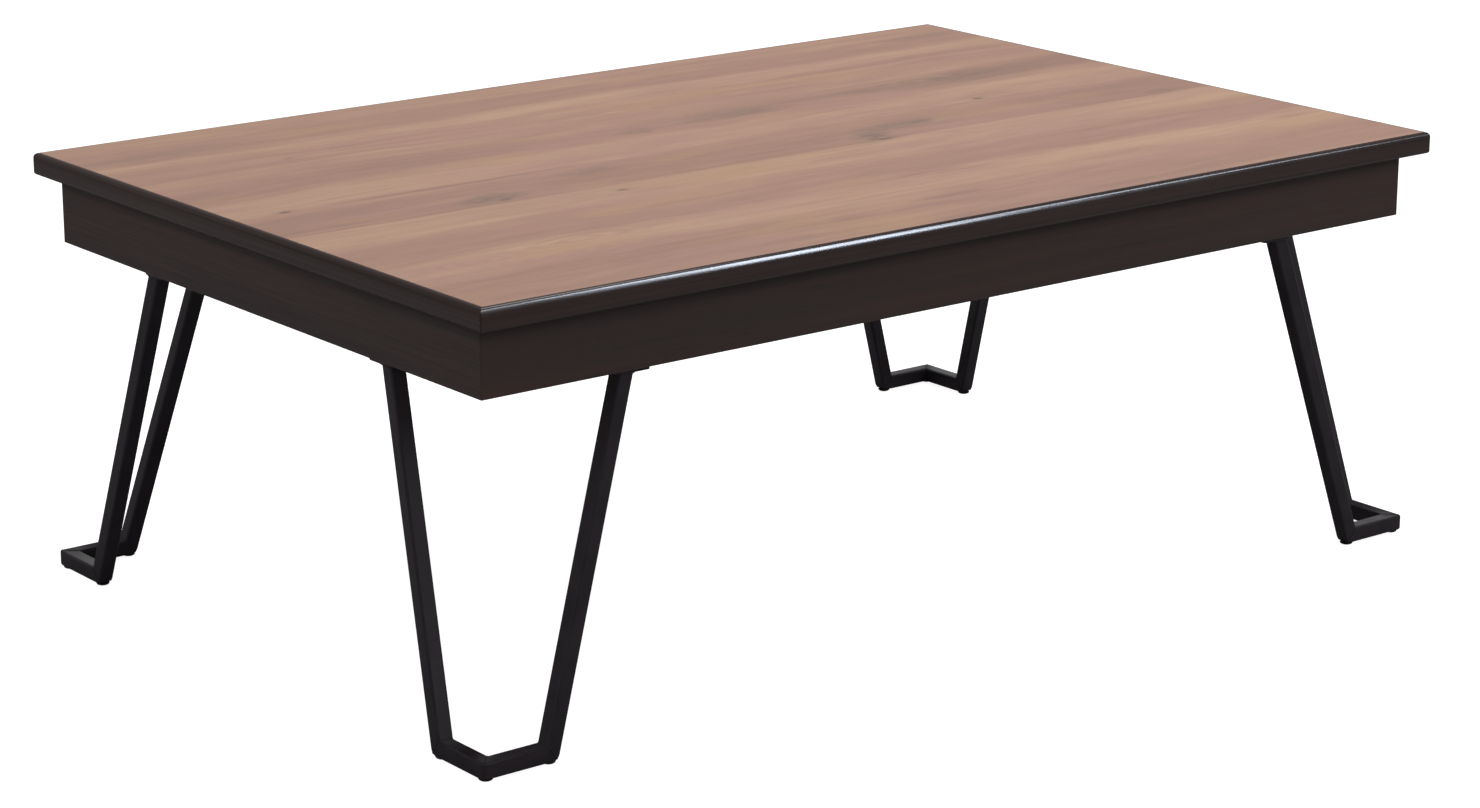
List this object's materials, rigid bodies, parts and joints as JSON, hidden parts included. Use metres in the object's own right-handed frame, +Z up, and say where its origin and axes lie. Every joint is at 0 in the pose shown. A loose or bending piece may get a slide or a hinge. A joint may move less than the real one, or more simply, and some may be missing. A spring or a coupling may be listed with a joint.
{
  "type": "coffee table",
  "caption": "Low rectangular coffee table: a dark-edged wood-grain top lifts off a deep dark apron, on splayed black steel bar legs with L-shaped feet.",
  "frame": {"origin": "on the floor, under the middle of the top", "axes": "+X along the long side to the right, +Y from the front long side to the back, +Z up"},
  "size_m": [1.05, 0.7, 0.385],
  "materials": {
    "wood_grain_face": "satin printed wood grain",
    "core_board": "raw particle board",
    "backer_sheet": "matt sheet",
    "edge_moulding": "semi-gloss dark moulding",
    "apron_wrap": "dark wood-grain wrap, satin",
    "bare_wood": "planed, uncoated",
    "leg_steel": "black powder coat, semi-matt",
    "screw_steel": "black zinc",
    "glide_plastic": "moulded",
    "rest_felt": "felt tape"
  },
  "bodies": {
    "frame": {"apron_front": "apron_wrap", "apron_right": "apron_wrap", "apron_back": "apron_wrap", "apron_left": "apron_wrap", "corner_gusset_front_left": "bare_wood", "corner_gusset_front_right": "bare_wood", "corner_gusset_back_right": "bare_wood", "corner_gusset_back_left": "bare_wood", "cross_rail_left": "bare_wood", "cross_rail_right": "bare_wood", "rest_strip_front": "rest_felt", "rest_strip_back": "rest_felt", "leg_upright_front_left_front": "leg_steel", "leg_upright_front_left_left": "leg_steel", "leg_foot_front_left": "leg_steel", "glide_front_left_point": "glide_plastic", "glide_front_left_front": "glide_plastic", "glide_front_left_left": "glide_plastic", "plate_screw_front_left_front_ear": "screw_steel", "plate_screw_front_left_front_inner": "screw_steel", "plate_screw_front_left_left_ear": "screw_steel", "plate_screw_front_left_left_inner": "screw_steel", "leg_upright_front_right_right": "leg_steel", "leg_upright_front_right_front": "leg_steel", "leg_foot_front_right": "leg_steel", "glide_front_right_point": "glide_plastic", "glide_front_right_right": "glide_plastic", "glide_front_right_front": "glide_plastic", "plate_screw_front_right_right_ear": "screw_steel", "plate_screw_front_right_right_inner": "screw_steel", "plate_screw_front_right_front_ear": "screw_steel", "plate_screw_front_right_front_inner": "screw_steel", "leg_upright_back_right_back": "leg_steel", "leg_upright_back_right_right": "leg_steel", "leg_foot_back_right": "leg_steel", "glide_back_right_point": "glide_plastic", "glide_back_right_back": "glide_plastic", "glide_back_right_right": "glide_plastic", "plate_screw_back_right_back_ear": "screw_steel", "plate_screw_back_right_back_inner": "screw_steel", "plate_screw_back_right_right_ear": "screw_steel", "plate_screw_back_right_right_inner": "screw_steel", "leg_upright_back_left_left": "leg_steel", "leg_upright_back_left_back": "leg_steel", "leg_foot_back_left": "leg_steel", "glide_back_left_point": "glide_plastic", "glide_back_left_left": "glide_plastic", "glide_back_left_back": "glide_plastic", "plate_screw_back_left_left_ear": "screw_steel", "plate_screw_back_left_left_inner": "screw_steel", "plate_screw_back_left_back_ear": "screw_steel", "plate_screw_back_left_back_inner": "screw_steel"},
    "top": {"top_core": "core_board", "top_wood_face": "wood_grain_face", "top_backer": "backer_sheet", "top_edge_front": "edge_moulding", "top_edge_right": "edge_moulding", "top_edge_back": "edge_moulding", "top_edge_left": "edge_moulding"}
  },
  "joints": [
    {"name": "top_lift", "type": "slide", "parent": "frame", "child": "top", "axis": [0, 0, 1], "range_m": [0, 0.12]}
  ]
}
